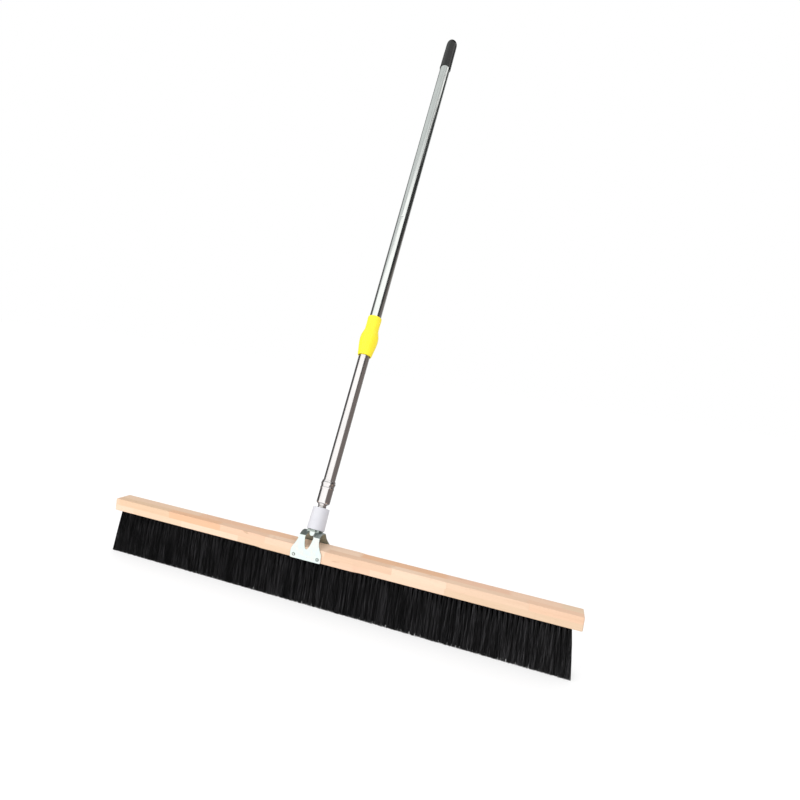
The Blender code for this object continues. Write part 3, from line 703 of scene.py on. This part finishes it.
def saddle_outline():
    """Front view of the bracket: full-width foot, hollow flanks, narrow roof."""
    half = BRACKET_HALF_WIDTH
    foot = arc(half - 0.003, 0.003, 0.003, -90, 0, 8)
    flank = bezier((half, 0.018), (0.0385, 0.029), (0.0285, 0.036), (0.0270, 0.050), 24)
    return mirrored(foot + flank + [(WAIST_HALF, 0.058), (WAIST_HALF, 0.080)])


def opening_outline():
    """Front view of the opening: a drop in each leg that narrows to the slot in the roof."""
    radius = 0.004
    tip = arc(0, 0.0275 + radius, radius, -90, -18, 12)
    side = bezier(tip[-1], (0.0080, 0.0370), (0.0088, 0.0440), (0.011, 0.054), 16)
    return mirrored(tip + side[1:] + [(0.008, 0.060), (0.008, 0.090)])


def saddle_bracket():
    """Sheet bent over the block, cut to the outline, with its openings and screw holes."""
    profile = saddle_profile()
    mesh = bpy.data.meshes.new("sheet")
    bm = bmesh.new()
    half = BRACKET_HALF_WIDTH
    left = [bm.verts.new((-half, y, z)) for y, z in profile]
    edges = [bm.edges.new(pair) for pair in zip(left, left[1:])]
    swept = bmesh.ops.extrude_edge_only(bm, edges=edges)
    moved = [v for v in swept["geom"] if isinstance(v, bmesh.types.BMVert)]
    bmesh.ops.translate(bm, verts=moved, vec=(2 * half, 0, 0))
    bmesh.ops.recalc_face_normals(bm, faces=bm.faces)
    crown = max(bm.faces, key=lambda f: f.calc_center_median().z)
    if crown.normal.z < 0:
        bmesh.ops.reverse_faces(bm, faces=bm.faces)
    bm.to_mesh(mesh)
    bm.free()
    sheet = tool(mesh)
    solid = sheet.modifiers.new("sheet", "SOLIDIFY")
    solid.thickness = SHEET
    solid.offset = -1
    solid.use_even_offset = True
    blank = tool(plate_mesh("blank", saddle_outline(), 0.12, "Y"))
    opening = tool(plate_mesh("opening", opening_outline(), 0.12, "Y"))
    hole = rod_mesh(SCREW_SHANK_RADIUS + GAP, -0.004, 0.003)
    lowered = Matrix.Translation((-BRACKET_X, 0, -BLOCK_BOTTOM))
    holes = [(hole, lowered @ screw_place(side, hand)) for side in (-1, 1) for hand in (-1, 1)]
    drill = tool(joined("drill", holes))
    boolean(sheet, blank, "INTERSECT")
    boolean(sheet, opening)
    boolean(sheet, drill)
    bevel(sheet, 0.00035, 2, 50)
    mesh = baked(sheet, blank, opening, drill)
    in_place = Matrix.Translation((BRACKET_X, 0, BLOCK_BOTTOM))
    show("saddle_sheet", mesh, zinc, HEAD, "saddle_bracket", in_place)


# ---- threads and screws -----------------------------------------------------------------

def thread_profile(top, bottom, radius, steps):
    """Straight side cut into many short steps, for a thread."""
    return [(radius, top + (bottom - top) * i / steps) for i in range(steps + 1)]


def helix(root, crest, pitch, low, high, fade):
    """Radius function of a rounded right-hand thread that fades out at both ends."""
    def shape(angle, r, z):
        if z < low or z > high or r < root * 0.99:
            return r
        turn = (z / pitch - angle / (2 * math.pi)) % 1.0
        wave = 0.5 - 0.5 * math.cos(2 * math.pi * turn)
        lift = min(1.0, (z - low) / fade, (high - z) / fade)
        return root + (crest - root) * lift * min(1.0, 1.35 * wave)
    return shape


def bracket_screws():
    """Four round-head wood screws with a cross recess."""
    dome_radius = (SCREW_HEAD_RADIUS ** 2 + SCREW_HEAD_HEIGHT ** 2) / (2 * SCREW_HEAD_HEIGHT)
    edge = math.degrees(math.asin(SCREW_HEAD_RADIUS / dome_radius))
    head = arc(0, SCREW_HEAD_HEIGHT - dome_radius, dome_radius, 90, 90 - edge, 12)
    head[0] = (0, SCREW_HEAD_HEIGHT)
    root = 0.0013
    profile = head + [(SCREW_SHANK_RADIUS, 0), (SCREW_SHANK_RADIUS, -0.003)]
    profile += thread_profile(-0.004, -0.019, root, 60) + [(0.0009, -0.020), (0, -SCREW_LENGTH)]
    thread = helix(root, SCREW_SHANK_RADIUS, 0.0016, -0.0195, -0.0035, 0.001)
    screw = turned("screw", profile, False, 32, thread)
    arm = 0.0021
    half = 0.00042
    depth = 0.0014
    slot = box_mesh("slot", (-arm, -half, SCREW_HEAD_HEIGHT - depth),
                    (arm, half, SCREW_HEAD_HEIGHT + depth))
    for side, side_name in ((-1, "front"), (1, "rear")):
        for hand, hand_name in ((-1, "left"), (1, "right")):
            turn = Matrix.Rotation(0.35 * side + 0.8 * hand, 4, "Z")
            blank = tool(screw.copy())
            first = tool(slot.copy(), turn)
            second = tool(slot.copy(), turn @ Matrix.Rotation(math.pi / 2, 4, "Z"))
            boolean(blank, first)
            boolean(blank, second)
            mesh = baked(blank, first, second)
            tag = side_name + "_" + hand_name
            show("screw_" + tag, mesh, screw_zinc, HEAD, "bracket_screw_" + tag,
                 screw_place(side, hand))


# ---- socket -----------------------------------------------------------------------------

SEAT_TOP = SEAT_TO_SOCKET - GAP
BOLT_RADIUS = 0.004


def seat_washer():
    """Plate under the socket, hollow below, with a pressed tongue down the slot."""
    half = 0.015
    reach = 0.0155
    tongue_half = 0.0062
    tip = SEAT_TOP - reach
    plate = tool(box_mesh("seat", (-half, -half, SEAT_LOW), (half, half, SEAT_TOP)))
    crown = rod_mesh(ROOF_RADIUS + GAP, -0.03, 0.03, 180)
    hollow = tool(crown, Matrix.Rotation(math.pi / 2, 4, "Y"))
    shield = [(0.0016, tip)] + bezier((0.0045, tip + 0.0018), (0.0058, tip + 0.0035),
                                      (tongue_half, tip + 0.006), (tongue_half, tip + 0.009), 10)
    shield.append((tongue_half, SEAT_TOP - 0.00001))
    back = Matrix.Translation((0, 0.0004 - half - SHEET / 2, 0))
    tongue = tool(plate_mesh("tongue", mirrored(shield), SHEET, "Y"), back)
    bore = tool(rod_mesh(BOLT_RADIUS + GAP, 0.020, 0.040))
    boolean(plate, hollow)
    boolean(plate, tongue, "UNION")
    boolean(plate, bore)
    bevel(plate, 0.0004, 3, 50)
    mesh = baked(plate, hollow, tongue, bore)
    show("seat_plate", mesh, seat_zinc, SOCKET, "seat_washer", ON_PIVOT)


SOCKET_FOOT = 0.022
SOCKET_RIM = 0.0208
SOCKET_BORE = 0.0115
SOCKET_FLOOR = 0.015
SOCKET_THREAD_DEPTH = 0.0008
THREAD_PITCH = 0.005


def handle_socket():
    """White moulded socket with a threaded bore."""
    top = station_span("handle_socket")[1]
    bore = SOCKET_BORE
    floor_level = SOCKET_FLOOR
    bolt_hole = BOLT_RADIUS + GAP
    rim_round = 0.0016
    foot_round = 0.0008
    profile = [(bore + 0.0012, top), (SOCKET_RIM - rim_round, top)]
    profile += arc(SOCKET_RIM - rim_round, top - rim_round, rim_round, 80, 0, 6)
    profile += [(SOCKET_FOOT - 0.0001, 0.0035)]
    profile += arc(SOCKET_FOOT - foot_round, foot_round, foot_round, 0, -90, 5)
    profile += [(bolt_hole, 0), (bolt_hole, floor_level), (bore, floor_level),
                (bore, floor_level + 0.002)]
    profile += thread_profile(floor_level + 0.003, top - 0.003, bore, 70)
    profile += [(bore, top - 0.0012)]

    def cut(angle, r, z):
        if abs(r - bore) > 0.00001 or z < floor_level + 0.0025 or z > top - 0.002:
            return r
        turn = (z / THREAD_PITCH - angle / (2 * math.pi)) % 1.0
        return bore + SOCKET_THREAD_DEPTH * (0.5 - 0.5 * math.cos(2 * math.pi * turn))
    mesh = turned("socket", profile, True, 96, cut)
    show("white_socket", mesh, white_plastic, SOCKET, "handle_socket", ON_SOCKET)


# ---- lower handle -----------------------------------------------------------------------

FERRULE_RADIUS = 0.0170
TIP_ROOT = 0.0097
TIP_CREST = 0.0110
THREAD_LOW = 0.0274
THREAD_HIGH = 0.0605
TIP_CONE_FOOT = 0.0646
TIP_CONE_TOP = 0.0705
PLUG_TOP = 0.116


def threaded_tip():
    """Turned tip with a coarse rounded thread; its plug sits inside the tube."""
    plug = LOWER_RADIUS - TUBE_WALL - GAP
    profile = [(0, PLUG_TOP), (plug - MM, PLUG_TOP), (plug, PLUG_TOP - MM), (plug, TIP_CONE_TOP),
               (TIP_CREST, TIP_CONE_FOOT)]
    profile += thread_profile(THREAD_HIGH, THREAD_LOW + MM, TIP_ROOT, 130)
    profile += [(TIP_ROOT - 0.0015, THREAD_LOW), (0, THREAD_LOW)]
    thread = helix(TIP_ROOT, TIP_CREST, THREAD_PITCH, THREAD_LOW + 0.0005, THREAD_HIGH + MM, 0.0015)
    mesh = turned("tip", profile, False, 64, thread)
    show("screw_tip", mesh, tip_metal, LOWER, "threaded_tip", ON_SOCKET)


def bead(centre, half, height):
    """A rolled bead on the ferrule's outer side, top to bottom."""
    steps = 12
    across = [2 * i / steps - 1 for i in range(steps + 1)]
    return [(FERRULE_RADIUS + height * math.cos(a * math.pi / 2) ** 2, centre - a * half)
            for a in across]


def tip_ferrule():
    """Rolled sleeve over the joint of tube and tip."""
    start, end = station_span("tip_ferrule")
    inner = LOWER_RADIUS + GAP
    neck = TIP_CREST + GAP
    nose = 0.007
    wall = 0.0016
    lip = 0.0008
    profile = [(inner, end), (FERRULE_RADIUS - lip, end)]
    profile += arc(FERRULE_RADIUS - lip, end - lip, lip, 90, 0, 4)[1:]
    profile += bead(end - 0.0075, 0.0050, 0.0013) + bead(end - 0.0190, 0.0025, 0.0009)
    profile += arc(FERRULE_RADIUS - nose + 0.001, start + nose, nose - 0.001, 0, -84, 12)
    profile += [(neck + 0.0003, start), (neck, start + 0.0003), (neck, start + wall),
                (neck + 0.0010, start + wall), (inner, start + nose)]
    mesh = turned("ferrule", profile)
    show("rolled_ferrule", mesh, tube_steel, LOWER, "tip_ferrule", ON_SOCKET)


def tube_profile(radius, start, end, near=None):
    """Thin wall with softly rounded ends, with extra rings near one station."""
    inner = radius - TUBE_WALL
    edge = TUBE_WALL * 0.4
    rings = 40
    heights = [end - edge + (start - end + 2 * edge) * i / rings for i in range(rings + 1)]
    if near:
        heights += [near + DIMPLE_RADIUS * i / 8 for i in range(-9, 10)]
    outer = [(radius, z) for z in sorted(heights, reverse=True)]
    top = [(inner + edge, end), (radius - edge, end)]
    foot = [(radius - edge, start), (inner + edge, start), (inner, start + edge)]
    return top + outer + foot + [(inner, end - edge)]


def lower_tube():
    """The thin inner tube."""
    start, end = station_span("lower_tube")
    mesh = turned("tube", tube_profile(LOWER_RADIUS, start, end))
    show("lower_tube_polished", mesh, tube_steel, LOWER, "lower_tube", ON_SOCKET)


# ---- upper handle -----------------------------------------------------------------------

DIMPLE_STATION = 0.915
DIMPLE_ANGLE = math.radians(-84)
DIMPLE_RADIUS = 0.004
DIMPLE_DEPTH = 0.0006


def upper_tube():
    """The long outer tube, with one small dent in its wall."""
    start, end = station_span("upper_tube")

    def dented(angle, r, z):
        turn = (angle - DIMPLE_ANGLE + math.pi) % (2 * math.pi) - math.pi
        away = math.hypot(turn * UPPER_RADIUS, z - DIMPLE_STATION) / DIMPLE_RADIUS
        if r < UPPER_RADIUS or away > 1:
            return r
        return r - DIMPLE_DEPTH * (0.5 + 0.5 * math.cos(math.pi * away))
    mesh = turned("tube", tube_profile(UPPER_RADIUS, start, end, DIMPLE_STATION), shape=dented)
    show("upper_tube_polished", mesh, upper_steel, UPPER, "upper_tube", ON_SOCKET)


def lock_collar():
    """Yellow twist nut: slim neck, S-curve, belly, rounded foot; a cone inside."""
    low, high = station_span("lock_collar")
    lip = UPPER_RADIUS + 2 * GAP
    cone = 0.0172 + GAP
    thread = 0.0196 + GAP
    throat = 0.537
    neck_round = 0.0013
    neck = [(UPPER_RADIUS + GAP, high), (0.0176, high)]
    neck += arc(0.0176, high - neck_round, neck_round, 90, 0, 5)[1:]
    slim = bezier((0.0190, high - 0.004), (0.0190, 0.576), (0.0186, 0.566), (0.0186, 0.553), 10)
    shoulder = bezier((0.0186, 0.553), (0.0188, 0.541), (0.0250, 0.537), (0.0250, 0.519), 24)
    belly = bezier((0.0250, 0.519), (0.0250, 0.506), (0.0222, 0.494), (0.0203, 0.481), 18)
    foot = bezier((0.0203, 0.481), (0.0199, 0.4775), (0.0195, 0.472), (0.0179, low), 8)
    profile = neck + slim + shoulder[1:] + belly[1:] + foot[1:]
    profile += [(lip, low), (lip, 0.478), (cone, 0.478), (thread, 0.509), (thread, throat),
                (UPPER_RADIUS + GAP, throat + 0.001)]
    mesh = turned("collar", profile, True, 128)
    show("yellow_lock_collar", mesh, yellow_plastic, COLLAR, "lock_collar", ON_SOCKET)


GRIP_FOOT = 0.0176
GRIP_SHOULDER = 0.0169
GRIP_LIP = 0.0012
HANG_HOLE_RADIUS = 0.0056
HANG_HOLE_BELOW_TOP = 0.0115
HANG_HOLE_TURN = math.radians(40)


def end_grip():
    """Soft cap with a rounded end, a rolled lip and a hole to hang the broom by."""
    low, high = station_span("end_grip")
    bore = UPPER_RADIUS + GAP
    cavity = station_span("upper_tube")[1] + GAP
    profile = bezier((0, high), (0.0125, high), (GRIP_SHOULDER - 0.0003, high - 0.0055),
                     (GRIP_SHOULDER, high - 0.0190), 20)
    profile += [(GRIP_SHOULDER + 0.0003, high - 0.05), (GRIP_FOOT, low + 0.02),
                (GRIP_FOOT, low + 0.004)]
    profile += arc(GRIP_FOOT - 0.0008, low + GRIP_LIP, GRIP_LIP, 40, -90, 8)
    profile += [(bore + 0.0003, low), (bore, low + 0.0004), (bore, cavity), (0, cavity)]
    cap = tool(turned("grip", profile, False, 96))
    centre = Matrix.Translation((0, 0, high - HANG_HOLE_BELOW_TOP))
    across = Matrix.Rotation(HANG_HOLE_TURN, 4, "Z") @ Matrix.Rotation(math.pi / 2, 4, "X")
    hole = tool(rod_mesh(HANG_HOLE_RADIUS, -0.03, 0.03, 32), centre @ across)
    boolean(cap, hole)
    bevel(cap, 0.0004, 3, 50)
    show("hanging_grip", baked(cap, hole), rubber, UPPER, "end_grip", ON_SOCKET)


# ---- hidden pieces kept from the CAD model ----------------------------------------------

def dress_hidden_nodes():
    """Materials for the CAD nodes that show as they are."""
    materials = {"clamp_saddle": zinc, "socket_bolt": screw_zinc, "socket_washer": screw_zinc,
                 "socket_nut": screw_zinc, "guide_bush": nylon, "locking_collet": nylon}
    for name, mat in materials.items():
        obj = frame["nodes"][name]
        if not obj.data.materials:
            obj.data.materials.append(None)
        for spot in obj.material_slots:
            spot.link = "OBJECT"
            spot.material = mat


# ---- stage ------------------------------------------------------------------------------

CAMERA_PLACE = Vector((0.457, -1.192, 0.620))
CAMERA_FORWARD = Vector((-0.2636, 0.9615, -0.0782))
CAMERA_UP = Vector((-0.1598, 0.0364, 0.9865))
CAMERA_LENS = 24.29
SOFTBOX_PLACE = Vector((-1.20, -2.751, 0.75))
SOFTBOX_TARGET = Vector((0, 0, 0.55))
FLOOR_DROP = 0.0004


def camera():
    """The camera, from its place, its view direction and its up direction."""
    data = bpy.data.cameras.new("camera")
    data.lens = CAMERA_LENS
    data.sensor_width = 36
    data.clip_start = 0.01
    obj = bpy.data.objects.new("camera", data)
    bpy.context.scene.collection.objects.link(obj)
    back = -CAMERA_FORWARD.normalized()
    right = CAMERA_UP.cross(back).normalized()
    up = back.cross(right)
    turn = Matrix((right, up, back)).transposed().to_4x4()
    obj.matrix_world = Matrix.Translation(CAMERA_PLACE) @ turn
    bpy.context.scene.camera = obj


def floor():
    """Plain pale floor just below the bristle tips; it glows a little, so that it looks white."""
    mesh = bpy.data.meshes.new("floor")
    bm = bmesh.new()
    bmesh.ops.create_grid(bm, x_segments=1, y_segments=1, size=14)
    bm.to_mesh(mesh)
    bm.free()
    obj = bpy.data.objects.new("floor", mesh)
    obj.location.z = -FLOOR_DROP
    s = Shader("pale_floor", 0.9)
    s.set("Base Color", (0.38, 0.38, 0.38, 1.0))
    s.set("Emission Color", (1.0, 1.0, 1.0, 1.0))
    s.set("Emission Strength", 0.62)
    s.set("Specular IOR Level", 0.0)
    mesh.materials.append(s.mat)
    bpy.context.scene.collection.objects.link(obj)
    obj.visible_glossy = False


def softbox():
    """The one lamp: a soft disc in front, hidden from the camera and from mirrors."""
    data = bpy.data.lights.new("front_softbox", "AREA")
    data.shape = "DISK"
    data.size = 1.8
    data.energy = 42
    obj = bpy.data.objects.new("front_softbox", data)
    bpy.context.scene.collection.objects.link(obj)
    obj.location = SOFTBOX_PLACE
    towards = SOFTBOX_TARGET - SOFTBOX_PLACE
    obj.rotation_euler = towards.to_track_quat("-Z", "Y").to_euler()
    obj.visible_glossy = False
    obj.visible_camera = False


def studio():
    """World that is plain white to the camera and lights evenly; only mirrors see a studio in it.

    Directions are an angle round about, 0 in front and growing to the right, and a height, both in
    degrees. Mirrors see a white wall in front, pale higher up and dim overhead. Round to the left
    the wall is pale with a dark foot and a grey stripe, and then dim. Round to the right and behind
    it shows only above a hump, with a grey band in it. Below the hump all is dark, and brown lower
    down, but for one pale strip behind.
    """
    world = bpy.data.worlds.new("studio")
    world.use_nodes = True
    bpy.context.scene.world = world
    s = Wiring(world.node_tree)
    background = s.tree.nodes["Background"]
    direction = s.split(s.add("ShaderNodeTexCoord").outputs["Generated"])
    to_front = s.math("MULTIPLY", direction[1], -1.0)
    degree = math.pi / 180
    round_about = s.math("DIVIDE", s.math("ARCTAN2", direction[0], to_front), degree)
    height = s.math("DIVIDE", s.math("ARCSINE", direction[2]), degree)

    white = (1.25, 1.24, 1.22)
    pale = (0.69, 0.71, 0.70)
    grey = (0.36, 0.36, 0.36)
    dim = (0.20, 0.21, 0.205)
    brown = (0.195, 0.168, 0.157)
    shade = (0.09, 0.085, 0.085)
    dark = (0.030, 0.030, 0.030)

    front_wall = s.spread(round_about, 44, 50, 1.0, 0.0)
    hump = s.math("SUBTRACT", s.spread(round_about, 56, 74, 0.0, 13.0),
                  s.spread(round_about, 92, 110, 0.0, 8.0))
    above_hump = s.spread(s.math("SUBTRACT", height, hump), 34.5, 38.5)
    lit = s.math("MAXIMUM", front_wall, above_hump)
    slanted = s.math("SUBTRACT", round_about, s.math("MULTIPLY", height, 1.9))
    left = s.math("MAXIMUM", s.spread(round_about, -74, -62, 1.0, 0.0),
                  s.spread(slanted, -146, -134, 1.0, 0.0))
    behind_left = s.spread(round_about, -124, -114, 1.0, 0.0)
    right_band = s.math("MULTIPLY", s.window(height, 52, 56, 59, 63),
                        s.spread(round_about, 44, 52))
    stripe = s.math("MULTIPLY", s.window(slanted, -150, -142, -138, -130, 0.8),
                    s.spread(height, 46, 50))
    back_strip = s.window(round_about, 155, 161, 167, 173)
    sloped = s.math("ADD", height, s.math("MULTIPLY", round_about, 0.15))

    wall = s.mix(s.spread(height, 58, 63), white, pale)
    wall = s.mix(right_band, wall, grey)
    wall = s.mix(left, wall, s.mix(s.spread(height, 28, 38), shade, pale))
    wall = s.mix(stripe, wall, grey)
    wall = s.mix(behind_left, wall, dim)
    wall = s.mix(s.spread(height, 75, 80), wall, dim)
    unlit = s.mix(s.spread(sloped, 35, 42), brown, dark)
    mirrored_world = s.mix(back_strip, s.mix(lit, unlit, wall), pale)

    ambient = s.mix(s.spread(height, 15, 60), (1.0, 1.0, 1.02), (1.26, 1.25, 1.25))
    ray = s.add("ShaderNodeLightPath").outputs
    colour = s.mix(ray["Is Glossy Ray"], ambient, mirrored_world)
    colour = s.mix(ray["Is Camera Ray"], colour, (1.0, 1.0, 1.0))
    s.feed(background.inputs["Color"], colour)


brush_block()
for row_index in range(ROWS):
    bristle_row(row_index)
saddle_bracket()
bracket_screws()
seat_washer()
handle_socket()
threaded_tip()
tip_ferrule()
lower_tube()
upper_tube()
lock_collar()
end_grip()
dress_hidden_nodes()
camera()
floor()
studio()
softbox()
bpy.context.scene.view_settings.view_transform = "Standard"
